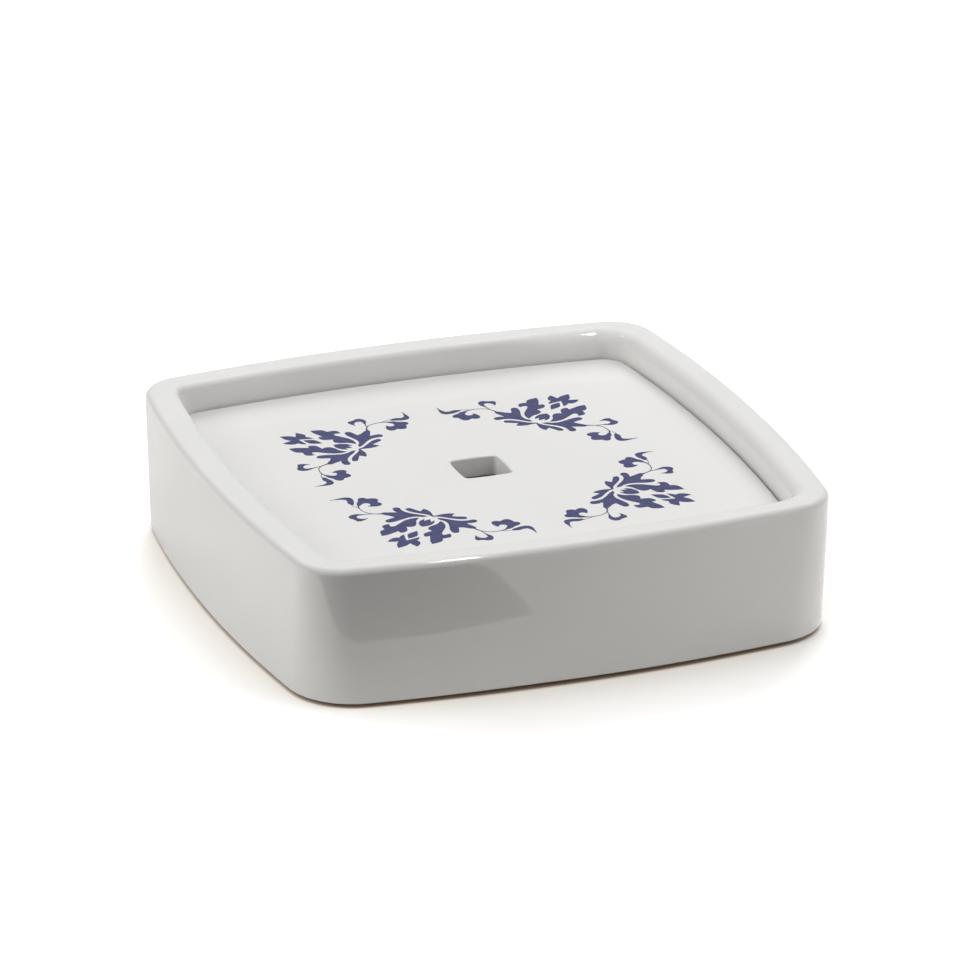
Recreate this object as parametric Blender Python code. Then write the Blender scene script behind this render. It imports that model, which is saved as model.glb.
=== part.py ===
"""Square soap dish of glazed stoneware: a deep dish, and a loose drain plate that lies inside its rim.

Run it with: blender --background --python part.py
Lengths are in metres, +Z is up and +Y points to the back. The origin is under the middle of the
dish, on the surface that it stands on. The dish and the plate have four equal sides.
"""

import math

import bmesh
import bpy

# Outline of the dish: a square whose sides bow outward, rounder at the base than at the rim
RIM_WIDTH = 0.1200
RIM_BOW_RADIUS = 0.3900
RIM_CORNER_RADIUS = 0.0100
BASE_SPREAD = 0.0003
BASE_BOW_RADIUS = 0.3400
BASE_CORNER_RADIUS = 0.0144

# Section through the wall
DISH_HEIGHT = 0.0302
WALL_THICKNESS = 0.0072
RIM_OUTER_ROUND = 0.0015
RIM_INNER_ROUND = 0.0015
RECESS_LEAN = math.radians(7.5)
BASE_ROUND = 0.0005

# Foot ring, the only part that touches the surface below
FOOT_HEIGHT = 0.0009
FOOT_INSET = 0.0030
FOOT_WIDTH = 0.0045
FOOT_CHAMFER = 0.0003
UNDERSIDE_RECESS = 0.0016

# Recess for the plate, the ledge that carries it, and the well that catches the water
RECESS_CORNER_RADIUS = 0.0059
LEDGE_WIDTH = 0.0030
LEDGE_ROUND = 0.0008
LEDGE_FILLET = 0.0004
WELL_CORNER_RADIUS = 0.0060
WELL_DRAFT = 0.0006
WELL_FILLET = 0.0040
FLOOR_THICKNESS = 0.0046

# Drain plate
PLATE_CLEARANCE = 0.00045
PLATE_DEPTH = 0.0061
PLATE_THICKNESS = 0.0046
PLATE_EDGE_ROUND = 0.0004
SEAT_GAP = 0.0003
WELD_DISTANCE = 0.000002

# Square drain hole in the middle of the plate
DRAIN_WIDTH = 0.0106
DRAIN_BOW_RADIUS = 0.0450
DRAIN_CORNER_RADIUS = 0.0009

# A rounding takes at most this share of the face that it is on: alone there, or one of two
LONE_ROUND_LIMIT_SHARE = 0.9
PAIR_ROUND_LIMIT_SHARE = 0.45

# A corner keeps at least this share of its radius where its outline is drawn inward
LEAST_CORNER_SHARE = 0.05

SIDES = 4
SIDE_STEPS = 10
CORNER_STEPS = 8
ROUND_STEPS = 5
WALL_STEPS = 4
PLATE_ROUND_RESOLUTION = 2
SMOOTH_ANGLE = math.radians(35)

# Ways that a quarter round turns from an upright wall to a flat face
INWARD, OUTWARD = 1, -1
FACE_ABOVE, FACE_BELOW = 1, -1

GLAZE_COLOUR = (0.83, 0.83, 0.81, 1.0)
GLAZE_ROUGHNESS = 0.12
GLAZE_METALLIC = 0.0


def clear_scene():
    for item in list(bpy.data.objects):
        bpy.data.objects.remove(item, do_unlink=True)


def glaze(name):
    """White glaze as a plain Principled material."""
    material = bpy.data.materials.new(name)
    material.use_nodes = True
    shader = material.node_tree.nodes["Principled BSDF"]
    shader.inputs["Base Color"].default_value = GLAZE_COLOUR
    shader.inputs["Roughness"].default_value = GLAZE_ROUGHNESS
    shader.inputs["Metallic"].default_value = GLAZE_METALLIC
    return material


def arc(centre, radius, start, end, steps):
    """Points on an arc, without its last one."""
    points = []
    for step in range(steps):
        angle = start + (end - start) * step / steps
        points.append((centre[0] + radius * math.cos(angle), centre[1] + radius * math.sin(angle)))
    return points


def outline_points(outline):
    """Points of a bowed square, counter-clockwise.

    An outline is its width, the radius that its sides bow on and its corner radius. Each corner
    arc touches both of its side arcs inside, which fixes the corner's centre on the diagonal.
    """
    width, bow, corner = outline
    side_x = width / 2 - bow
    reach = bow - corner
    corner_x = (side_x + math.sqrt(2 * reach ** 2 - side_x ** 2)) / 2
    half_angle = math.atan2(corner_x, corner_x - side_x)
    quarter = arc((side_x, 0), bow, -half_angle, half_angle, SIDE_STEPS)
    quarter += arc((corner_x, corner_x), corner, half_angle, math.pi / 2 - half_angle, CORNER_STEPS)
    points = []
    for side in range(SIDES):
        turn = math.tau * side / SIDES
        points += [(x * math.cos(turn) - y * math.sin(turn), x * math.sin(turn) + y * math.cos(turn))
                   for x, y in quarter]
    return points


def inset(outline, distance):
    """The same outline drawn inward, or outward where the distance is negative."""
    width, bow, corner = outline
    return width - 2 * distance, bow - distance, max(corner - distance, corner * LEAST_CORNER_SHARE)


def blend(low, high, share):
    """The outline that lies at a share of the way from the low one to the high one."""
    return tuple(a + (b - a) * share for a, b in zip(low, high))


def quarter_round(wall, face_z, radius, face_side, face_level, lean=0.0):
    """Stations of a quarter round, from an upright wall to the flat face at face_z.

    The wall is an outline, the face lies inward or outward of it, and above or below the point
    where the round leaves the wall. The same arc rounds an edge and fills a corner. Where the wall
    leans, the round stops short by that angle and the outline is where it would turn upright.
    """
    stations = []
    for step in range(ROUND_STEPS + 1):
        angle = lean + (math.pi / 2 - lean) * step / ROUND_STEPS
        outline = inset(wall, face_side * radius * (1 - math.cos(angle)))
        stations.append((outline, face_z - face_level * radius * (1 - math.sin(angle))))
    return stations


def rim_outline():
    return RIM_WIDTH, RIM_BOW_RADIUS, RIM_CORNER_RADIUS


def base_outline():
    return RIM_WIDTH + 2 * BASE_SPREAD, BASE_BOW_RADIUS, BASE_CORNER_RADIUS


def recess_outline():
    return RIM_WIDTH - 2 * WALL_THICKNESS, RIM_BOW_RADIUS - WALL_THICKNESS, RECESS_CORNER_RADIUS


def well_outline():
    width, bow, _ = inset(recess_outline(), LEDGE_WIDTH)
    return width, bow, WELL_CORNER_RADIUS


def ledge_height():
    """Level of the ledge: the plate's underside, less the gap under the plate."""
    return DISH_HEIGHT - PLATE_DEPTH - PLATE_THICKNESS - SEAT_GAP


def foot_stations():
    """Underside of the dish: the recess inside the foot ring, the ring, and the step outside it."""
    chamfer = min(FOOT_CHAMFER, FOOT_HEIGHT * LONE_ROUND_LIMIT_SHARE, FOOT_WIDTH * PAIR_ROUND_LIMIT_SHARE)
    outer = inset(base_outline(), FOOT_INSET)
    inner = inset(outer, FOOT_WIDTH)
    return [
        (inner, UNDERSIDE_RECESS),
        (inner, chamfer),
        (inset(inner, -chamfer), 0),
        (inset(outer, chamfer), 0),
        (outer, chamfer),
        (outer, FOOT_HEIGHT),
    ]


def outer_wall_stations():
    """Outer wall, from the rounded base up to the rim's outer edge."""
    base_round = min(BASE_ROUND, FOOT_INSET * LONE_ROUND_LIMIT_SHARE)
    rim_round = min(RIM_OUTER_ROUND, WALL_THICKNESS * PAIR_ROUND_LIMIT_SHARE)
    low = FOOT_HEIGHT + base_round
    high = DISH_HEIGHT - rim_round
    stations = quarter_round(base_outline(), FOOT_HEIGHT, base_round, INWARD, FACE_BELOW)[::-1]
    for step in range(1, WALL_STEPS):
        share = step / WALL_STEPS
        stations.append((blend(base_outline(), rim_outline(), share), low + (high - low) * share))
    return stations + quarter_round(rim_outline(), DISH_HEIGHT, rim_round, INWARD, FACE_ABOVE)


def lip_stations():
    """Rounded inner edge of the rim, and the wall that leans in from it to the plate's top."""
    rim_round = min(RIM_OUTER_ROUND, WALL_THICKNESS * PAIR_ROUND_LIMIT_SHARE)
    rim_top = WALL_THICKNESS - rim_round - PLATE_DEPTH * math.tan(RECESS_LEAN)
    lip_round = min(RIM_INNER_ROUND, rim_top * LONE_ROUND_LIMIT_SHARE, PLATE_DEPTH * LONE_ROUND_LIMIT_SHARE)
    run = (PLATE_DEPTH - lip_round * (1 - math.sin(RECESS_LEAN))) * math.tan(RECESS_LEAN)
    mouth = inset(recess_outline(), lip_round * (1 - math.cos(RECESS_LEAN)) - run)
    lip = quarter_round(mouth, DISH_HEIGHT, lip_round, OUTWARD, FACE_ABOVE, RECESS_LEAN)[::-1]
    return lip + [(recess_outline(), DISH_HEIGHT - PLATE_DEPTH)]


def recess_stations():
    """Inside of the rim, down to the ledge, and over the ledge's edge."""
    fillet = min(LEDGE_FILLET, PLATE_CLEARANCE * LONE_ROUND_LIMIT_SHARE)
    ledge_round = min(LEDGE_ROUND, (LEDGE_WIDTH - fillet) * LONE_ROUND_LIMIT_SHARE)
    stations = lip_stations()
    stations += quarter_round(recess_outline(), ledge_height(), fillet, INWARD, FACE_BELOW)
    stations += quarter_round(well_outline(), ledge_height(), ledge_round, OUTWARD, FACE_ABOVE)[::-1]
    return stations


def well_stations():
    """Foot of the well's wall and the floor, which the wall runs down to with a little draft."""
    floor_z = UNDERSIDE_RECESS + FLOOR_THICKNESS
    fillet = min(WELL_FILLET, (ledge_height() - floor_z) * PAIR_ROUND_LIMIT_SHARE)
    return quarter_round(inset(well_outline(), WELL_DRAFT), floor_z, fillet, INWARD, FACE_BELOW)


def new_object(name, mesh, collection):
    item = bpy.data.objects.new(name, mesh)
    collection.objects.link(item)
    mesh.materials.append(glaze(name + "_glaze"))
    return item


def loft(name, stations, collection):
    """A closed solid through unlike outlines, with a flat cap on its first and its last one."""
    shape = bmesh.new()
    rings = [[shape.verts.new((x, y, z)) for x, y in outline_points(outline)] for outline, z in stations]
    for low, high in zip(rings, rings[1:]):
        for index, corner in enumerate(low):
            after = (index + 1) % len(low)
            shape.faces.new((corner, low[after], high[after], high[index]))
    shape.faces.new(reversed(rings[0]))
    shape.faces.new(rings[-1])
    mesh = bpy.data.meshes.new(name)
    shape.to_mesh(mesh)
    shape.free()
    return new_object(name, mesh, collection)


def build_dish(collection):
    stations = foot_stations() + outer_wall_stations() + recess_stations() + well_stations()
    return loft("dish_body", stations, collection)


def add_spline(curve, outline):
    points = outline_points(outline)
    spline = curve.splines.new("POLY")
    spline.points.add(len(points) - 1)
    for point, (x, y) in zip(spline.points, points):
        point.co = (x, y, 0, 1)
    spline.use_cyclic_u = True


def plate_curve():
    """The plate as a flat outline with its drain hole, extruded, with every edge rounded."""
    edge_round = min(PLATE_EDGE_ROUND, PLATE_THICKNESS * PAIR_ROUND_LIMIT_SHARE)
    curve = bpy.data.curves.new("plate_outline", "CURVE")
    curve.dimensions = "2D"
    curve.fill_mode = "BOTH"
    curve.extrude = PLATE_THICKNESS / 2 - edge_round
    curve.bevel_depth = edge_round
    curve.bevel_resolution = PLATE_ROUND_RESOLUTION
    curve.offset = -edge_round
    add_spline(curve, inset(recess_outline(), PLATE_CLEARANCE))
    add_spline(curve, (DRAIN_WIDTH, DRAIN_BOW_RADIUS, DRAIN_CORNER_RADIUS))
    return curve


def build_plate(collection):
    """The plate, with its origin on the upright line that it lifts along."""
    outline = bpy.data.objects.new("plate_outline", plate_curve())
    collection.objects.link(outline)
    evaluated = outline.evaluated_get(bpy.context.evaluated_depsgraph_get())
    mesh = bpy.data.meshes.new_from_object(evaluated)
    bpy.data.objects.remove(outline, do_unlink=True)

    shape = bmesh.new()
    shape.from_mesh(mesh)
    bmesh.ops.remove_doubles(shape, verts=shape.verts, dist=WELD_DISTANCE)
    bmesh.ops.recalc_face_normals(shape, faces=shape.faces)
    shape.to_mesh(mesh)
    shape.free()

    mesh.name = "drain_plate"
    plate = new_object("drain_plate", mesh, collection)
    plate.location.z = DISH_HEIGHT - PLATE_DEPTH - PLATE_THICKNESS / 2
    return plate


def main():
    clear_scene()
    collection = bpy.data.collections.new("soap_dish")
    bpy.context.scene.collection.children.link(collection)
    for item in (build_dish(collection), build_plate(collection)):
        item.data.shade_smooth()
        item.data.set_sharp_from_angle(angle=SMOOTH_ANGLE)


main()
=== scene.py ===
import math

import bmesh
import bpy
from mathutils import Matrix, Vector, noise
from mathutils.geometry import interpolate_bezier


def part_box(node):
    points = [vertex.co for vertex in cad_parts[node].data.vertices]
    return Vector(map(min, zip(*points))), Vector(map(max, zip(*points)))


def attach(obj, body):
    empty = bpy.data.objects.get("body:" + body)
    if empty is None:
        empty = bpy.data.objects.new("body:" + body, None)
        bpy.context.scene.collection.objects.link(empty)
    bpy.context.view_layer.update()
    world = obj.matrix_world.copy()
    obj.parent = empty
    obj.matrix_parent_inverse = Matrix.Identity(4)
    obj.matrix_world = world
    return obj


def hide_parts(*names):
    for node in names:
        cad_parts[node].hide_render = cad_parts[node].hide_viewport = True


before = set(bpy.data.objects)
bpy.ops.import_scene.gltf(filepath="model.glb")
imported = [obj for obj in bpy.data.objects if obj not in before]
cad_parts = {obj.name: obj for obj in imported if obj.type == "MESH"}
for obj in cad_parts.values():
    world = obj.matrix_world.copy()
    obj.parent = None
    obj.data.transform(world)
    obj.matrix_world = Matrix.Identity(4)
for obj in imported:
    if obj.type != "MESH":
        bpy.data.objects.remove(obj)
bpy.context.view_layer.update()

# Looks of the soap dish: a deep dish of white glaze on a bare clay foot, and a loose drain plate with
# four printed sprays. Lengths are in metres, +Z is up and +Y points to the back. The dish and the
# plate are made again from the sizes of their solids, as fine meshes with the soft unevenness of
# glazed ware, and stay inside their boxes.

DISH_LOW, DISH_HIGH = (Vector(corner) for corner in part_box("dish_body"))
PLATE_LOW, PLATE_HIGH = (Vector(corner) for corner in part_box("drain_plate"))

# Outlines: a square's width, the radius that its sides bow on, its corner radius and its middle
BASE_OUTLINE = (DISH_HIGH.x - DISH_LOW.x, 0.3400, 0.0144, 0, 0)
RIM_OUTLINE = (0.1200, 0.3900, 0.0100, 0, 0)
RECESS_OUTLINE = (0.1056, 0.3828, 0.0059, 0, 0)
WELL_OUTLINE = (0.0996, 0.3798, 0.0060, 0, 0)
PLATE_OUTLINE = (PLATE_HIGH.x - PLATE_LOW.x, 0.38235, 0.00545, 0, 0)
DRAIN_OUTLINE = (0.0106, 0.0450, 0.0009, 0, 0)

# The mouth of the recess isn't alike all round: it is crisp and its corners are tight at the left
# and behind, and it is soft and wide at the right. Each form has the radius of the rim's inner edge,
# the lean of the wall below it, the radius of the mouth's corners and its middle.
CRISP_FORM = (0.0015, math.radians(7.5), 0.0024, (0.0004, -0.0005))
SOFT_FORM = (0.0033, 0.0, 0.0059, (0.0, 0.0))

# Directions from the middle, either way from the right: soft up to the first, crisp from the second
SOFT_ANGLE = math.radians(52)
CRISP_ANGLE = math.radians(66)

# Levels and roundings of the dish
RIM_OUTER_ROUND = 0.0015
BASE_ROUND = 0.0005
FOOT_HEIGHT = 0.0009
FOOT_INSET = 0.0030
FOOT_WIDTH = 0.0045
FOOT_ROUND = 0.0002
FOOT_SUNK = 0.0006
UNDERSIDE_LEVEL = 0.0016
LEDGE_LEVEL = 0.0192
LEDGE_FILLET = 0.0004
LEDGE_ROUND = 0.0008
WELL_DRAFT = 0.0006
WELL_FILLET = 0.0040
WELL_FLOOR = 0.0062
PLATE_EDGE_ROUND = 0.0004

# How far the outer base is arched up at the middle of each side, and how high up that is felt
BASE_ARCH = 0.0002
BASE_ARCH_REACH = 0.0060

# Soft unevenness of the fired ware: how deep it goes, and how far apart its swells lie
WARE_SWELL = 0.00010
WARE_SWELL_LENGTH = 0.034
PLATE_SWELL = 0.00004
PLATE_SWELL_LENGTH = 0.040

# Steps of the meshes: along each side, corner and rounding, up the walls, and over the flat faces
SIDE_STEPS = 44
CORNER_STEPS = 20
ROUND_STEPS = 12
WALL_STEPS = 26
LEAN_STEPS = 8
WELL_STEPS = 6
EDGE_STEPS = 4
SHORT_STEPS = 3
FLAT_STEPS = 24
FLOOR_STEPS = 8

# Ways that a quarter round turns from an upright wall to a flat face
INWARD, OUTWARD = 1, -1
FACE_ABOVE, FACE_BELOW = 1, -1

# The print: four sprays turned in quarters about a point that lies a little off centre, each with
# how far it slipped out of its place, in millimetres to the right and to the back
PRINT_TURN = math.radians(2.4)
PRINT_CENTRE = (0.0004, -0.0016)
SPRAYS = (("back", -0.04, -0.05), ("left", 0.01, 0.40), ("front", 0.12, -0.06), ("right", -0.09, -0.30))
PRINT_UNIT = 0.001
PRINT_PROUD = 0.00003
PRINT_SUNK = 0.00012
PRINT_STEPS = 6
PRINT_SHARP_ANGLE = math.radians(40)
STEM_STEPS = 8
STEM_STEP_DOWN = 0.000004
TIP = True

# Outlines of one spray in millimetres: outward along the plate's diagonal, then across it to one
# side, with a third value at each pointed end or notch. The other side is its mirror image.
SIDE_LEAF = (
    (28.55, 1.0, TIP), (29.2, 1.8), (29.5, 3.0), (30.4, 4.2), (31.8, 5.05), (33.4, 5.9), (34.45, 6.85),
    (34.5, 7.65), (33.85, 8.05), (32.7, 7.6), (31.6, 7.0, TIP), (31.25, 8.0), (31.15, 9.6),
    (30.85, 10.5, TIP), (30.1, 10.1), (29.6, 9.0), (28.95, 7.6, TIP), (28.3, 8.65), (27.4, 9.25),
    (26.65, 8.9), (26.6, 8.15), (27.45, 7.3), (28.15, 6.1), (28.4, 4.3), (28.35, 2.5),
)
PETAL = (
    (29.9, 2.35, TIP), (30.65, 3.4), (32.2, 4.4), (34.3, 4.85), (35.9, 5.15), (36.45, 5.75, TIP),
    (36.0, 6.25), (35.3, 6.6, TIP), (36.0, 7.25), (36.9, 7.5), (37.65, 7.0), (38.25, 6.35, TIP),
    (39.45, 6.75), (40.5, 6.35), (41.7, 5.5, TIP), (40.6, 4.6), (39.4, 4.05), (38.0, 3.45, TIP),
    (38.6, 2.75), (38.1, 2.1), (37.1, 1.9), (36.1, 2.35), (35.35, 2.85, TIP), (34.95, 1.95),
    (34.2, 1.45), (33.0, 1.65), (31.7, 2.25),
)
LOBED_BUD = (
    (28.85, 16.1), (28.6, 16.55), (27.7, 17.1), (26.6, 17.3), (25.75, 17.7), (24.9, 17.75),
    (24.35, 17.1), (24.55, 16.25, TIP), (24.0, 15.4), (23.75, 14.5), (24.3, 13.8), (25.35, 13.5, TIP),
    (25.6, 12.55), (26.45, 12.1), (27.55, 12.75), (28.25, 14.3, TIP), (27.2, 14.25), (26.7, 14.95),
    (27.15, 15.8),
)
SCROLL_TIP = (
    (28.55, 17.45), (28.6, 18.25), (28.1, 18.95), (27.15, 19.5), (26.8, 20.2), (27.35, 21.5),
    (28.45, 22.9, TIP), (26.8, 21.65), (25.75, 20.75), (25.4, 19.6), (26.3, 18.45), (27.6, 17.75),
)
COMMA_BUD = (
    (32.75, 13.9), (33.15, 15.0), (34.0, 15.65), (34.95, 15.75), (35.6, 15.2), (35.8, 14.3),
    (36.5, 13.1, TIP), (35.9, 12.35), (34.05, 11.75, TIP), (34.8, 12.6), (34.85, 13.7), (34.15, 14.3),
    (33.4, 14.0), (33.05, 13.55),
)

# Outlines that cross the spray's axis: their half on one side, from the axis back to the axis
INNER_LEAVES = (
    (28.3, 0.0), (28.0, 0.65), (27.75, 1.6), (27.7, 3.2), (27.6, 4.9), (27.2, 6.1), (26.6, 6.75),
    (25.9, 6.2), (26.2, 4.9), (26.65, 3.45, TIP), (25.95, 3.4), (25.15, 3.4, TIP), (25.4, 2.5),
    (26.3, 1.3), (27.4, 0.45), (27.85, 0.0, TIP),
)
HEART_BUD = (
    (34.05, 0.0, TIP), (33.2, 0.95), (32.2, 1.4), (31.2, 1.5), (30.1, 1.1, TIP), (31.1, 0.75, TIP),
    (30.4, 0.35), (29.75, 0.0, TIP),
)
DIAMOND_BUD = ((36.5, 0.0, TIP), (37.6, 0.6), (38.7, 1.0), (39.7, 0.75), (40.9, 0.0, TIP))
CROWN_LEAF = (
    (41.95, 0.0, TIP), (41.0, 0.65), (39.3, 1.7, TIP), (40.3, 2.0), (41.2, 1.95, TIP), (41.65, 2.8),
    (42.7, 3.25), (44.1, 3.25, TIP), (43.6, 2.2), (43.1, 1.25, TIP), (44.6, 1.0), (46.25, 0.0, TIP),
)

# Stems: points along each one with its width there
LONG_STEM = (
    (30.85, 10.2, 0.50), (31.3, 11.1, 0.30), (31.6, 12.2, 0.24), (31.5, 13.3, 0.20), (31.0, 14.3, 0.20),
    (30.3, 15.2, 0.22), (29.5, 15.9, 0.30), (28.6, 16.3, 0.45),
)
SIDE_STEM = ((31.5, 11.7, 0.16), (31.95, 12.4, 0.20), (32.45, 13.1, 0.26), (33.0, 14.0, 0.50))
TIP_STEM = ((29.9, 15.65, 0.12), (29.6, 16.5, 0.14), (29.15, 17.3, 0.16), (28.5, 18.0, 0.40))

MIRRORED_OUTLINES = (SIDE_LEAF, PETAL, LOBED_BUD, SCROLL_TIP, COMMA_BUD)
AXIS_OUTLINES = (INNER_LEAVES, HEART_BUD, DIAMOND_BUD, CROWN_LEAF)
STEMS = (LONG_STEM, SIDE_STEM, TIP_STEM)

# Glaze: its colour where it is plain and where it pools, on the dish and on the plate. Its specks
# lie about their spacing apart, and their sizes are shares of it.
DISH_GLAZE = ((0.835, 0.828, 0.810, 1.0), (0.816, 0.811, 0.796, 1.0))
PLATE_GLAZE = ((0.835, 0.828, 0.815, 1.0), (0.820, 0.814, 0.802, 1.0))
POOL_LENGTH = 0.028
SPECK_COLOUR = (0.42, 0.38, 0.33, 1.0)
SPECK_SPACING = 0.006
SPECK_SIZES = (0.010, 0.022)
SPECK_STRENGTH = 0.45
THIN_GLAZE_COLOUR = (0.50, 0.38, 0.26, 1.0)
THIN_GLAZE_STRENGTH = 0.6

# Gloss of the glaze, and the heights and lengths of its orange peel and its slow swells
GLAZE_IOR = 1.52
GLOSS_ROUGHNESS = (0.02, 0.045)
GLOSS_LENGTH = 0.006
FINE_GLOSS_LENGTH = 0.0007
FINE_GLOSS_SHARE = 0.35
PEEL_HEIGHT, PEEL_LENGTH = 0.000006, 0.0022
SLOW_HEIGHT, SLOW_LENGTH = 0.00006, 0.016

# Cobalt of the print: two strengths, and the paler grain in it
COBALT_DEEP = (0.026, 0.030, 0.125, 1.0)
COBALT_THIN = (0.046, 0.053, 0.175, 1.0)
COBALT_GRAIN = (0.09, 0.10, 0.24, 1.0)
COBALT_LENGTH = 0.0016
GRAIN_LENGTH = 0.00018
GRAIN_RANGE = (0.55, 0.75)
GRAIN_STRENGTH = 0.5

# Bare clay: two tones, freckles and a rough surface
CLAY_DARK = (0.60, 0.50, 0.38, 1.0)
CLAY_PALE = (0.66, 0.57, 0.46, 1.0)
CLAY_TONE_LENGTH = 0.004
FRECKLE_COLOUR = (0.30, 0.21, 0.14, 1.0)
FRECKLE_LENGTH = 0.0005
FRECKLE_RANGE = (0.62, 0.72)
FRECKLE_STRENGTH = 0.7
CLAY_ROUGHNESS = (0.75, 0.95)
CLAY_ROUGHNESS_LENGTH = 0.001
CLAY_HEIGHT, CLAY_LENGTH = 0.00006, 0.0003

# Range of a noise value between which a material goes from its first finish to its second
NOISE_RANGE = (0.3, 0.7)
POOL_RANGE = (0.35, 0.65)

# Camera of the photograph
CAMERA_AZIMUTH = math.radians(-20.2)
CAMERA_ELEVATION = math.radians(21.85)
CAMERA_DISTANCE = 1.4263
CAMERA_TARGET = (-0.0009, -0.0019, 0.0219)
CAMERA_LENS_MM = 259.5
SENSOR_MM = 36

# Studio: the floor, by its own colour and by the one that is seen
FLOOR_REACH = 3.0
FLOOR_GREY = (0.755, 0.74, 0.715, 1.0)
FLOOR_WHITE = (0.55, 0.55, 0.55, 1.0)

# The glow of the floor gains to the left of the dish, between two places along X, as painted light on
# that side
FLOOR_LEFT_PAINTED_LIGHT_GAIN = 1.3
FLOOR_LEFT_EDGES = (-0.066, -0.020)

# Glow of the floor by how open it is above, which paints shade round the dish and a warm brown at its
# foot: share of it that is open, and colour
FLOOR_SHADE_REACH = 0.12
FLOOR_SHADE_SAMPLES = 8
FLOOR_GLOW_AND_PAINTED_SHADE_STOPS = (
    (0.00, (0.000, 0.000, 0.000, 1.0)),
    (0.25, (0.150, 0.100, 0.065, 1.0)),
    (0.50, (0.500, 0.470, 0.420, 1.0)),
    (0.66, (0.590, 0.585, 0.575, 1.0)),
    (1.00, (0.850, 0.850, 0.850, 1.0)),
)

# The bright board, which glows less behind the dish, between two places along Y
BOARD_REACH = 0.6
BOARD_LEVEL = 0.0002
BOARD_GLOW = 0.45
BOARD_BACK_GLOW = 0.16
BOARD_BACK_EDGES = (0.0, 0.070)

# The dark card, by its back right corner
CARD_BLACK = (0.03, 0.03, 0.03, 1.0)
CARD_CORNER = (0.0010, -0.0980)
CARD_SIZE = (0.350, 0.350)
CARD_TURN = math.radians(-11)
CARD_LEVEL = 0.0005

# The grey screen all round
SCREEN_RADIUS = 1.6
SCREEN_HEIGHT = 1.3
SCREEN_STEPS = 96
SCREEN_GREY = 0.42

WHITE = (1.0, 1.0, 1.0, 1.0)
BLACK = (0.0, 0.0, 0.0, 1.0)

# Lamps: how far away they stand, and how wide they are
LAMP_DISTANCE = 1.2
SOFTBOX_SIZE = 0.7
SPOT_SIZE = 0.05

# Softboxes, which light the ware: name, azimuth and elevation in degrees, and watts
SOFTBOXES = (
    ("left_softbox", -90, 38, 4.3),
    ("low_left_softbox", -90, 20, 2.7),
    ("top_softbox", -90, 78, 2.0),
    ("back_softbox", 150, 38, 9.3),
    ("right_softbox", 60, 58, 3.9),
    ("low_right_softbox", 60, 38, 2.8),
)

# Small lamps that only glint in the glaze, with the same values
SPOTS = (
    ("right_spot", 42.7, 71.5, 1.5),
    ("top_spot", 20, 76, 0.15),
    ("left_spot", -121, 55, 0.6),
)


def arc(centre, radius, start, end, steps):
    """Points on an arc, without its last one."""
    points = []
    for step in range(steps):
        angle = start + (end - start) * step / steps
        x = centre[0] + radius * math.cos(angle)
        y = centre[1] + radius * math.sin(angle)
        points.append(Vector((x, y)))
    return points


def outline_points(outline):
    """Points of a square whose sides bow outward, with corner arcs that touch its side arcs."""
    width, bow, corner, *middle = outline
    side_x = width / 2 - bow
    reach = bow - corner
    corner_x = (side_x + math.sqrt(2 * reach ** 2 - side_x ** 2)) / 2
    half_angle = math.atan2(corner_x, corner_x - side_x)
    quarter = arc((side_x, 0), bow, -half_angle, half_angle, SIDE_STEPS)
    quarter += arc((corner_x, corner_x), corner, half_angle, math.pi / 2 - half_angle, CORNER_STEPS)
    turns = [Matrix.Rotation(math.tau * side / 4, 2) for side in range(4)]
    return [turn @ point + Vector(middle) for turn in turns for point in quarter]


def inset(outline, distance):
    """The same outline drawn inward, or outward where the distance is negative."""
    width, bow, corner, *middle = outline
    return width - 2 * distance, bow - distance, corner - distance, *middle


def blend(first, last, share):
    return tuple(a + (b - a) * share for a, b in zip(first, last))


def between(first, last, steps):
    """Stations between two others, without either."""
    (first_outline, first_z), (last_outline, last_z) = first, last
    shares = [step / steps for step in range(1, steps)]
    return [(blend(first_outline, last_outline, share), first_z + (last_z - first_z) * share)
            for share in shares]


def quarter_round(wall, face_z, radius, face_side, face_level, lean=0.0):
    """Stations of a quarter round, from a wall to the flat face at face_z.

    The wall is upright, or leans by an angle that cuts the round short.
    """
    stations = []
    for step in range(ROUND_STEPS + 1):
        angle = lean + (math.pi / 2 - lean) * step / ROUND_STEPS
        outline = inset(wall, face_side * radius * (1 - math.cos(angle)))
        stations.append((outline, face_z - face_level * radius * (1 - math.sin(angle))))
    return stations


def join_stations(*groups):
    """All stations in a row, with finer ones across each long straight stretch between groups."""
    stations = list(groups[0])
    for group, steps in groups[1:]:
        stations += between(stations[-1], group[0], steps) + list(group)
    return stations


def cap_stations(station, steps):
    """Stations that close in towards the middle of a flat face, all but to a point."""
    outline, z = station
    return [(tuple(size * (1 - step / steps) for size in outline), z) for step in range(1, steps)]


def soft_share(point):
    """1 at the right of the dish, 0 behind it, at its left and in front."""
    angle = abs(math.atan2(point.y, point.x))
    share = min(max((CRISP_ANGLE - angle) / (CRISP_ANGLE - SOFT_ANGLE), 0.0), 1.0)
    return share * share * (3 - 2 * share)


def ring_points(crisp_station, soft_station):
    """Points of one station, between its crisp form and its soft form."""
    (crisp_outline, crisp_z), (soft_outline, soft_z) = crisp_station, soft_station
    points = []
    for crisp, soft in zip(outline_points(crisp_outline), outline_points(soft_outline)):
        share = soft_share(crisp)
        points.append((*crisp.lerp(soft, share), crisp_z + (soft_z - crisp_z) * share))
    return points


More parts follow.
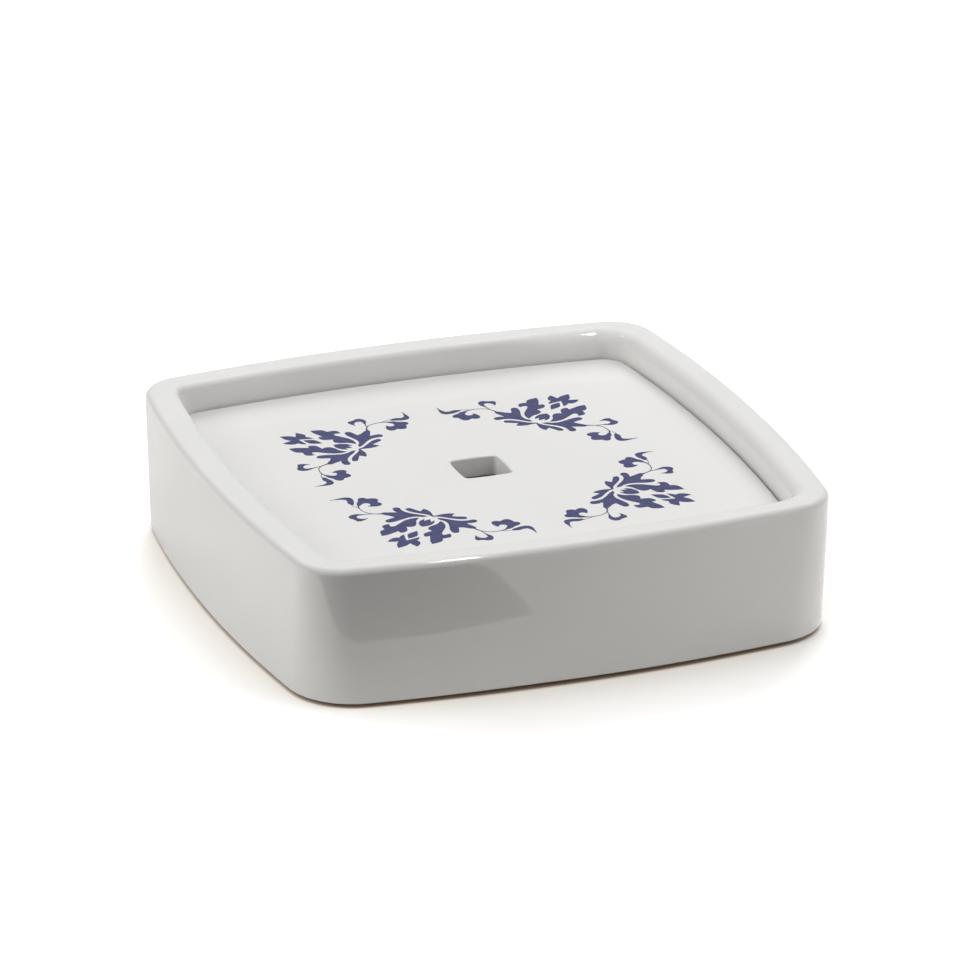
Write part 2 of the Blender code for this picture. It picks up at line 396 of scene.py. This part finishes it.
def loft(crisp_stations, soft_stations, endless=False):
    """A closed mesh between two forms, with a flat cap on its ends, or joined end to end.

    The stations of the crisp form and of the soft form belong together in pairs.
    """
    shape = bmesh.new()
    rings = [[shape.verts.new(point) for point in ring_points(*pair)]
             for pair in zip(crisp_stations, soft_stations)]
    pairs = list(zip(rings, rings[1:]))
    if endless:
        pairs.append((rings[-1], rings[0]))
    else:
        shape.faces.new(reversed(rings[0]))
        shape.faces.new(rings[-1])
    for low, high in pairs:
        for index, corner in enumerate(low):
            after = (index + 1) % len(low)
            shape.faces.new((corner, low[after], high[after], high[index]))
    bmesh.ops.recalc_face_normals(shape, faces=shape.faces)
    return shape


def finish_mesh(name, shape, material):
    for face in shape.faces:
        face.smooth = True
    mesh = bpy.data.meshes.new(name)
    shape.to_mesh(mesh)
    shape.free()
    mesh.materials.append(material)
    item = bpy.data.objects.new(name, mesh)
    bpy.context.scene.collection.objects.link(item)
    return item


def swell(place, length):
    """A smooth value from 0 to 1 that rises and falls along about the given length."""
    return min(max(0.5 + noise.noise(Vector(place) / length), 0.0), 1.0)


def base_lift(place):
    """How far the outer base is arched up, which is most at the middle of each side."""
    if max(abs(place.x), abs(place.y)) < DISH_HIGH.x / 2:
        return 0
    low_share = 1 - min((place.z - FOOT_HEIGHT) / BASE_ARCH_REACH, 1)
    middle_share = math.cos(2 * math.atan2(place.y, place.x)) ** 2
    return BASE_ARCH * low_share * middle_share


def lip_stations(form):
    """Rounded inner edge of the rim, and the wall that leans in from it to the plate's top."""
    radius, lean, corner, middle = form
    round_end = DISH_HIGH.z - radius * (1 - math.sin(lean))
    run = (round_end - PLATE_HIGH.z) * math.tan(lean)
    width, bow, *_ = inset(RECESS_OUTLINE, radius * (1 - math.cos(lean)) - run)
    mouth = (width, bow, corner, *middle)
    lip = quarter_round(mouth, DISH_HIGH.z, radius, OUTWARD, FACE_ABOVE, lean)[::-1]
    beside_plate = (RECESS_OUTLINE, PLATE_HIGH.z)
    return lip + between(lip[-1], beside_plate, LEAN_STEPS) + [beside_plate]


def dish_stations(form):
    """The dish's section, from the middle of its underside round to the middle of its floor."""
    foot_outer = inset(BASE_OUTLINE, FOOT_INSET)
    foot_inner = inset(foot_outer, FOOT_WIDTH)
    inside_foot = (foot_inner, UNDERSIDE_LEVEL)
    base = quarter_round(BASE_OUTLINE, FOOT_HEIGHT, BASE_ROUND, INWARD, FACE_BELOW)[::-1]
    rim = quarter_round(RIM_OUTLINE, DISH_HIGH.z, RIM_OUTER_ROUND, INWARD, FACE_ABOVE)
    ledge = quarter_round(RECESS_OUTLINE, LEDGE_LEVEL, LEDGE_FILLET, INWARD, FACE_BELOW)
    ledge_edge = quarter_round(WELL_OUTLINE, LEDGE_LEVEL, LEDGE_ROUND, OUTWARD, FACE_ABOVE)[::-1]
    well = quarter_round(inset(WELL_OUTLINE, WELL_DRAFT), WELL_FLOOR, WELL_FILLET, INWARD, FACE_BELOW)
    return cap_stations(inside_foot, FLOOR_STEPS)[::-1] + join_stations(
        [inside_foot],
        ([(foot_inner, FOOT_HEIGHT)], SHORT_STEPS),
        ([(foot_outer, FOOT_HEIGHT)], SHORT_STEPS),
        (base, SHORT_STEPS),
        (rim, WALL_STEPS),
        (lip_stations(form), SHORT_STEPS),
        (ledge, WELL_STEPS),
        (ledge_edge, SHORT_STEPS),
        (well, WELL_STEPS),
    ) + cap_stations(well[-1], FLOOR_STEPS)


def build_dish(material):
    """The glazed dish, with the soft unevenness of its walls."""
    shape = loft(dish_stations(CRISP_FORM), dish_stations(SOFT_FORM))
    shape.normal_update()
    pushes = [(corner, corner.normal.copy()) for corner in shape.verts]
    for corner, normal in pushes:
        corner.co -= normal * WARE_SWELL * swell(corner.co, WARE_SWELL_LENGTH)
        corner.co.z += base_lift(corner.co)
    return finish_mesh("dish_shell", shape, material)


def build_foot(material):
    """The bare clay face of the foot ring, let into the underside of the dish."""
    outer = inset(BASE_OUTLINE, FOOT_INSET)
    inner = inset(outer, FOOT_WIDTH)
    low = DISH_LOW.z
    stations = quarter_round(outer, low, FOOT_ROUND, INWARD, FACE_BELOW)[::-1]
    stations += [(outer, FOOT_HEIGHT + FOOT_SUNK), (inner, FOOT_HEIGHT + FOOT_SUNK)]
    stations += quarter_round(inner, low, FOOT_ROUND, OUTWARD, FACE_BELOW)
    return finish_mesh("foot_ring", loft(stations, stations, endless=True), material)


def plate_dip(x, y):
    """How far the plate's top lies below its highest level."""
    return PLATE_SWELL * swell((x, y, 0), PLATE_SWELL_LENGTH)


def build_plate(material):
    """The plate, once round its section: up the drain hole, out over the top and back underneath."""
    hole_lip = quarter_round(DRAIN_OUTLINE, PLATE_HIGH.z, PLATE_EDGE_ROUND, OUTWARD, FACE_ABOVE)
    edge = quarter_round(PLATE_OUTLINE, PLATE_HIGH.z, PLATE_EDGE_ROUND, INWARD, FACE_ABOVE)[::-1]
    under_edge = quarter_round(PLATE_OUTLINE, PLATE_LOW.z, PLATE_EDGE_ROUND, INWARD, FACE_BELOW)
    hole_foot = quarter_round(DRAIN_OUTLINE, PLATE_LOW.z, PLATE_EDGE_ROUND, OUTWARD, FACE_BELOW)[::-1]
    stations = join_stations(hole_lip, (edge, FLAT_STEPS), (under_edge, EDGE_STEPS),
                             (hole_foot, FLAT_STEPS))
    shape = loft(stations, stations, endless=True)
    middle = (PLATE_LOW.z + PLATE_HIGH.z) / 2
    for corner in shape.verts:
        side = 1 if corner.co.z > middle else -1
        corner.co.z -= side * plate_dip(corner.co.x, corner.co.y)
    return finish_mesh("plate_slab", shape, material)


def curve_piece(before, start, end, after, start_tip, end_tip, steps):
    """Points from start up to end, smooth with the pieces on either side except at a tip."""
    length = (end - start).length
    lean_out = (end - start) if start_tip else (end - before).normalized() * length
    lean_in = (end - start) if end_tip else (after - start).normalized() * length
    points = interpolate_bezier(start, start + lean_out / 3, end - lean_in / 3, end, steps + 1)
    return [Vector(point) for point in points[:-1]]


def smooth_outline(outline):
    """Points along the closed curve through an outline's points."""
    places = [Vector((u, v, 0)) for u, v, *_ in outline]
    tips = [len(point) > 2 for point in outline]
    count = len(places)
    points = []
    for index in range(count):
        around = [places[(index + shift) % count] for shift in (-1, 0, 1, 2)]
        points += curve_piece(*around, tips[index], tips[(index + 1) % count], PRINT_STEPS)
    return points


def mirrored(points):
    return [Vector((point.x, -point.y, 0)) for point in reversed(points)]


def across_axis(half):
    """A whole outline from its half on one side of the axis."""
    return half + tuple((u, -v, *tip) for u, v, *tip in half[-2:0:-1])


def stem_outline(stem):
    """The outline of a stem, along one edge and back along the other."""
    places = [Vector((u, v, width)) for u, v, width in stem]
    line = []
    for index in range(len(places) - 1):
        before = places[max(index - 1, 0)]
        after = places[min(index + 2, len(places) - 1)]
        line += curve_piece(before, places[index], places[index + 1], after, False, False, STEM_STEPS)
    line.append(places[-1])
    left, right = [], []
    for index, point in enumerate(line):
        along = line[min(index + 1, len(line) - 1)] - line[max(index - 1, 0)]
        across = Vector((-along.y, along.x, 0)).normalized() * point.z / 2
        spot = Vector((point.x, point.y, 0))
        left.append(spot + across)
        right.append(spot - across)
    return left + right[::-1]


def spray_outlines():
    """Every closed outline of one spray, each with how far its top lies below the leaves' tops."""
    found = [(smooth_outline(across_axis(outline)), 0) for outline in AXIS_OUTLINES]
    for outline in MIRRORED_OUTLINES:
        points = smooth_outline(outline)
        found += [(points, 0), (mirrored(points), 0)]
    for level, stem in enumerate(STEMS, start=1):
        points = stem_outline(stem)
        found += [(points, level * STEM_STEP_DOWN), (mirrored(points), level * STEM_STEP_DOWN)]
    return found


def build_spray(name, turn, slip, outlines, material):
    """One spray as thin closed solids that follow the plate's top."""
    centre = Vector((*PRINT_CENTRE, 0)) + Vector((*slip, 0)) * PRINT_UNIT
    place = Matrix.Translation(centre) @ Matrix.Rotation(turn, 4, "Z")
    shape = bmesh.new()
    for points, step_down in outlines:
        spots = [place @ (point * PRINT_UNIT) for point in points]
        levels = [PLATE_HIGH.z - plate_dip(spot.x, spot.y) for spot in spots]
        top = [shape.verts.new((spot.x, spot.y, level + PRINT_PROUD - step_down))
               for spot, level in zip(spots, levels)]
        bottom = [shape.verts.new((spot.x, spot.y, level - PRINT_SUNK))
                  for spot, level in zip(spots, levels)]
        shape.faces.new(top)
        shape.faces.new(reversed(bottom))
        for index in range(len(top)):
            shape.faces.new((bottom[index - 1], bottom[index], top[index], top[index - 1]))
    bmesh.ops.recalc_face_normals(shape, faces=shape.faces)
    bmesh.ops.triangulate(shape, faces=[face for face in shape.faces if len(face.verts) > 4])
    item = finish_mesh(name, shape, material)
    item.data.set_sharp_from_angle(angle=PRINT_SHARP_ANGLE)
    return item


def new_material(name):
    """A material with its node tree and its Principled shader."""
    material = bpy.data.materials.new(name)
    material.use_nodes = True
    tree = material.node_tree
    return material, tree, tree.nodes["Principled BSDF"]


def add_node(tree, kind, settings=None, **inputs):
    """A node with its settings, and its inputs given as values or as sockets to link."""
    node = tree.nodes.new(kind)
    for name, value in (settings or {}).items():
        setattr(node, name, value)
    for name, value in inputs.items():
        key = int(name[1:]) if name[1:].isdigit() else name.replace("_", " ")
        if isinstance(value, bpy.types.NodeSocket):
            tree.links.new(value, node.inputs[key])
        else:
            node.inputs[key].default_value = value
    return node


def noise_value(tree, place, length, detail=2.0):
    """Noise from 0 to 1 whose features are about the given length apart."""
    node = add_node(tree, "ShaderNodeTexNoise", Vector=place, Scale=1 / length, Detail=detail)
    return node.outputs["Fac"]


def spread(tree, value, low, high, to_low, to_high):
    """A value carried over from one range to another."""
    node = add_node(tree, "ShaderNodeMapRange", Value=value, From_Min=low, From_Max=high,
                    To_Min=to_low, To_Max=to_high)
    return node.outputs["Result"]


def mix_colour(tree, share, first, second):
    """Two colours mixed by a share, each given as a colour or as a socket."""
    node = add_node(tree, "ShaderNodeMix", {"data_type": "RGBA"}, i0=share, i6=first, i7=second)
    return node.outputs[2]


def colour_ramp(tree, value, stops):
    """The colour that belongs to a value from 0 to 1, by stops of a value and its colour."""
    node = add_node(tree, "ShaderNodeValToRGB", Fac=value)
    elements = node.color_ramp.elements
    elements[0].color = stops[0][1]
    elements[1].color = stops[-1][1]
    for position, colour in stops[1:-1]:
        elements.new(position).color = colour
    return node.outputs["Color"]


def add_glaze_surface(tree, shader, place):
    """Gloss of fired glaze: near smooth, with a faint orange peel and slow swells."""
    gloss = noise_value(tree, place, GLOSS_LENGTH, 3.0)
    fine_gloss = noise_value(tree, place, FINE_GLOSS_LENGTH)
    both = add_node(tree, "ShaderNodeMix", {"data_type": "FLOAT"}, i0=FINE_GLOSS_SHARE, i2=gloss,
                    i3=fine_gloss)
    roughness = spread(tree, both.outputs[0], *NOISE_RANGE, *GLOSS_ROUGHNESS)
    tree.links.new(roughness, shader.inputs["Roughness"])
    peel = add_node(tree, "ShaderNodeBump", Strength=1.0, Distance=PEEL_HEIGHT,
                    Height=noise_value(tree, place, PEEL_LENGTH, 1.0))
    slow = add_node(tree, "ShaderNodeBump", Strength=1.0, Distance=SLOW_HEIGHT,
                    Height=noise_value(tree, place, SLOW_LENGTH, 1.0), Normal=peel.outputs["Normal"])
    tree.links.new(slow.outputs["Normal"], shader.inputs["Normal"])
    shader.inputs["IOR"].default_value = GLAZE_IOR


def glaze_material(name, main_colour, pooled_colour, foot_tint=False):
    """White glaze, a little deeper in colour where it pools, with a few pinprick specks.

    With the foot's tint, the clay shows through the thin glaze at the lower edge.
    """
    material, tree, shader = new_material(name)
    place = add_node(tree, "ShaderNodeTexCoord").outputs["Object"]
    pooled = spread(tree, noise_value(tree, place, POOL_LENGTH, 3.0), *POOL_RANGE, 0.0, 1.0)
    colour = mix_colour(tree, pooled, main_colour, pooled_colour)
    cells = add_node(tree, "ShaderNodeTexVoronoi", Vector=place, Scale=1 / SPECK_SPACING)
    speck = spread(tree, cells.outputs["Distance"], *SPECK_SIZES, SPECK_STRENGTH, 0.0)
    colour = mix_colour(tree, speck, colour, SPECK_COLOUR)
    if foot_tint:
        height = add_node(tree, "ShaderNodeSeparateXYZ", Vector=place).outputs["Z"]
        thin = spread(tree, height, FOOT_HEIGHT, FOOT_HEIGHT + BASE_ROUND / 2, THIN_GLAZE_STRENGTH, 0.0)
        colour = mix_colour(tree, thin, colour, THIN_GLAZE_COLOUR)
    tree.links.new(colour, shader.inputs["Base Color"])
    add_glaze_surface(tree, shader, place)
    return material


def print_material():
    """Cobalt print under the glaze, uneven in strength as a transfer is."""
    material, tree, shader = new_material("cobalt_print")
    place = add_node(tree, "ShaderNodeTexCoord").outputs["Object"]
    thin = spread(tree, noise_value(tree, place, COBALT_LENGTH, 4.0), *NOISE_RANGE, 0.0, 1.0)
    colour = mix_colour(tree, thin, COBALT_DEEP, COBALT_THIN)
    grain = spread(tree, noise_value(tree, place, GRAIN_LENGTH), *GRAIN_RANGE, 0.0, GRAIN_STRENGTH)
    colour = mix_colour(tree, grain, colour, COBALT_GRAIN)
    tree.links.new(colour, shader.inputs["Base Color"])
    add_glaze_surface(tree, shader, place)
    return material


def clay_material():
    """Bare fired clay: dull, grainy and freckled."""
    material, tree, shader = new_material("bare_clay")
    place = add_node(tree, "ShaderNodeTexCoord").outputs["Object"]
    tone = spread(tree, noise_value(tree, place, CLAY_TONE_LENGTH, 4.0), *NOISE_RANGE, 0.0, 1.0)
    colour = mix_colour(tree, tone, CLAY_DARK, CLAY_PALE)
    freckle_noise = noise_value(tree, place, FRECKLE_LENGTH, 1.0)
    freckle = spread(tree, freckle_noise, *FRECKLE_RANGE, 0.0, FRECKLE_STRENGTH)
    colour = mix_colour(tree, freckle, colour, FRECKLE_COLOUR)
    tree.links.new(colour, shader.inputs["Base Color"])
    rough_noise = noise_value(tree, place, CLAY_ROUGHNESS_LENGTH)
    tree.links.new(spread(tree, rough_noise, *NOISE_RANGE, *CLAY_ROUGHNESS), shader.inputs["Roughness"])
    bump = add_node(tree, "ShaderNodeBump", Strength=1.0, Distance=CLAY_HEIGHT,
                    Height=noise_value(tree, place, CLAY_LENGTH, 3.0))
    tree.links.new(bump.outputs["Normal"], shader.inputs["Normal"])
    return material


def seen_directly(tree):
    """1 on rays that show the background: from the camera, in a reflection or through glass."""
    path = add_node(tree, "ShaderNodeLightPath")
    first = add_node(tree, "ShaderNodeMath", {"operation": "MAXIMUM"}, i0=path.outputs["Is Camera Ray"],
                     i1=path.outputs["Is Glossy Ray"])
    both = add_node(tree, "ShaderNodeMath", {"operation": "MAXIMUM"}, i0=first.outputs[0],
                    i1=path.outputs["Is Transmission Ray"])
    return both.outputs[0]


def add_stage_piece(name, shape):
    """An object of the studio from its shape, with an empty material, and that material's tree."""
    mesh = bpy.data.meshes.new(name)
    shape.to_mesh(mesh)
    shape.free()
    item = bpy.data.objects.new(name, mesh)
    bpy.context.scene.collection.objects.link(item)
    material = bpy.data.materials.new(name)
    material.use_nodes = True
    material.node_tree.nodes.clear()
    mesh.materials.append(material)
    return item, material.node_tree


def rectangle(low, high, z):
    """A flat rectangle between two corners."""
    shape = bmesh.new()
    corners = [(low[0], low[1], z), (high[0], low[1], z), (high[0], high[1], z), (low[0], high[1], z)]
    shape.faces.new([shape.verts.new(corner) for corner in corners])
    return shape


def hide_from_camera(item):
    """The glaze mirrors the item, but the camera doesn't see it and it throws no shadow."""
    item.visible_camera = False
    item.visible_shadow = False
    item.visible_transmission = False


def build_card():
    """A dark card on the floor in front of the dish, which its front wall mirrors."""
    card, tree = add_stage_piece("dark_card", rectangle((-CARD_SIZE[0], -CARD_SIZE[1]), (0, 0), 0))
    card.location = (*CARD_CORNER, CARD_LEVEL)
    card.rotation_euler.z = CARD_TURN
    hide_from_camera(card)
    matt = add_node(tree, "ShaderNodeBsdfDiffuse", Color=CARD_BLACK)
    add_node(tree, "ShaderNodeOutputMaterial", Surface=matt.outputs[0])


def build_screen():
    """A grey screen all round, low down, which the plate mirrors in place of the white background."""
    shape = bmesh.new()
    rings = [[shape.verts.new((SCREEN_RADIUS * math.cos(angle), SCREEN_RADIUS * math.sin(angle), z))
              for angle in (math.tau * step / SCREEN_STEPS for step in range(SCREEN_STEPS))]
             for z in (0, SCREEN_HEIGHT)]
    for index in range(SCREEN_STEPS):
        shape.faces.new((rings[0][index - 1], rings[0][index], rings[1][index], rings[1][index - 1]))
    screen, tree = add_stage_piece("grey_screen", shape)
    hide_from_camera(screen)
    screen.visible_diffuse = False
    grey = add_node(tree, "ShaderNodeEmission", Color=WHITE, Strength=SCREEN_GREY)
    add_node(tree, "ShaderNodeOutputMaterial", Surface=grey.outputs[0])


def build_floor():
    """A pale floor that shows as white, keeps the shadow of the dish, and has painted shade round it.
    """
    plane = rectangle((-FLOOR_REACH, -FLOOR_REACH), (FLOOR_REACH, FLOOR_REACH), 0)
    _, tree = add_stage_piece("floor", plane)
    matt = add_node(tree, "ShaderNodeBsdfDiffuse", Color=FLOOR_GREY)
    lit = add_node(tree, "ShaderNodeBsdfDiffuse", Color=FLOOR_WHITE)
    # Painted shade: the glow dims and turns warm brown where the dish hems the floor in.
    openness = add_node(tree, "ShaderNodeAmbientOcclusion", {"samples": FLOOR_SHADE_SAMPLES},
                        Distance=FLOOR_SHADE_REACH).outputs["AO"]
    glow = colour_ramp(tree, openness, FLOOR_GLOW_AND_PAINTED_SHADE_STOPS)
    # Painted light: the floor glows brighter to the left of the dish.
    place = add_node(tree, "ShaderNodeTexCoord").outputs["Object"]
    across = add_node(tree, "ShaderNodeSeparateXYZ", Vector=place).outputs["X"]
    gain = spread(tree, across, *FLOOR_LEFT_EDGES, FLOOR_LEFT_PAINTED_LIGHT_GAIN, 1.0)
    lift = add_node(tree, "ShaderNodeEmission", Color=glow, Strength=gain)
    white = add_node(tree, "ShaderNodeAddShader", i0=lit.outputs[0], i1=lift.outputs[0])
    both = add_node(tree, "ShaderNodeMixShader", i0=seen_directly(tree), i1=matt.outputs[0],
                    i2=white.outputs[0])
    add_node(tree, "ShaderNodeOutputMaterial", Surface=both.outputs[0])


def build_board():
    """A bright board round the dish on the floor, which its walls mirror."""
    plane = rectangle((-BOARD_REACH, -BOARD_REACH), (BOARD_REACH, BOARD_REACH), BOARD_LEVEL)
    board, tree = add_stage_piece("bright_board", plane)
    hide_from_camera(board)
    matt = add_node(tree, "ShaderNodeBsdfDiffuse", Color=FLOOR_GREY)
    in_glaze = add_node(tree, "ShaderNodeLightPath").outputs["Is Glossy Ray"]
    place = add_node(tree, "ShaderNodeTexCoord").outputs["Object"]
    depth = add_node(tree, "ShaderNodeSeparateXYZ", Vector=place).outputs["Y"]
    strength = spread(tree, depth, *BOARD_BACK_EDGES, BOARD_GLOW, BOARD_BACK_GLOW)
    glow = add_node(tree, "ShaderNodeMath", {"operation": "MULTIPLY"}, i0=in_glaze, i1=strength)
    lift = add_node(tree, "ShaderNodeEmission", Color=WHITE, Strength=glow.outputs[0])
    both = add_node(tree, "ShaderNodeAddShader", i0=matt.outputs[0], i1=lift.outputs[0])
    add_node(tree, "ShaderNodeOutputMaterial", Surface=both.outputs[0])


def build_world():
    """A background that is white where it is seen or mirrored, and gives matt surfaces no light."""
    world = bpy.data.worlds.new("studio")
    world.use_nodes = True
    tree = world.node_tree
    tree.nodes.clear()
    dark = add_node(tree, "ShaderNodeBackground", Color=BLACK, Strength=0.0)
    white = add_node(tree, "ShaderNodeBackground", Color=WHITE, Strength=1.0)
    both = add_node(tree, "ShaderNodeMixShader", i0=seen_directly(tree), i1=dark.outputs[0],
                    i2=white.outputs[0])
    add_node(tree, "ShaderNodeOutputWorld", Surface=both.outputs[0])
    bpy.context.scene.world = world


def direction(azimuth, elevation):
    """Unit vector towards a compass direction: azimuth 0 is the front, and grows to the right."""
    flat = math.cos(elevation)
    return Vector((math.sin(azimuth) * flat, -math.cos(azimuth) * flat, math.sin(elevation)))


def aim(item, target):
    item.rotation_euler = (item.location - target).to_track_quat("Z", "Y").to_euler()


def add_lamp(name, azimuth, elevation, watts, size):
    """A square lamp that faces the dish."""
    light = bpy.data.lights.new(name, "AREA")
    light.shape = "SQUARE"
    light.size = size
    light.energy = watts
    item = bpy.data.objects.new(name, light)
    bpy.context.scene.collection.objects.link(item)
    item.location = direction(math.radians(azimuth), math.radians(elevation)) * LAMP_DISTANCE
    aim(item, Vector((0, 0, 0)))
    return item


def build_lamps():
    """Softboxes for the ware's own colour, and small lamps for the glints in its glaze."""
    for softbox in SOFTBOXES:
        add_lamp(*softbox, SOFTBOX_SIZE).visible_glossy = False
    for spot in SPOTS:
        add_lamp(*spot, SPOT_SIZE).visible_diffuse = False


def build_camera():
    camera = bpy.data.cameras.new("camera")
    camera.lens = CAMERA_LENS_MM
    camera.sensor_width = SENSOR_MM
    item = bpy.data.objects.new("camera", camera)
    bpy.context.scene.collection.objects.link(item)
    target = Vector(CAMERA_TARGET)
    item.location = target + direction(CAMERA_AZIMUTH, CAMERA_ELEVATION) * CAMERA_DISTANCE
    aim(item, target)
    bpy.context.scene.camera = item


def build_object():
    dish_glaze = glaze_material("white_glaze_dish", *DISH_GLAZE, foot_tint=True)
    plate_glaze = glaze_material("white_glaze_plate", *PLATE_GLAZE)
    dish = build_dish(dish_glaze)
    foot = build_foot(clay_material())
    for piece, slot in ((dish, "dish_glaze"), (foot, "foot_bare")):
        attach(piece, "dish")
        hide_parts("dish_body")
    plate = build_plate(plate_glaze)
    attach(plate, "plate")
    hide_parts("drain_plate")
    outlines = spray_outlines()
    cobalt = print_material()
    for index, (side, *slip) in enumerate(SPRAYS):
        turn = PRINT_TURN + math.tau * (index + 0.5) / len(SPRAYS)
        spray = build_spray("ornament_" + side, turn, slip, outlines, cobalt)
        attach(spray, "plate")


def build_stage():
    build_floor()
    build_board()
    build_card()
    build_screen()
    build_world()
    build_lamps()
    build_camera()
    bpy.context.scene.view_settings.view_transform = "Standard"


build_object()
build_stage()
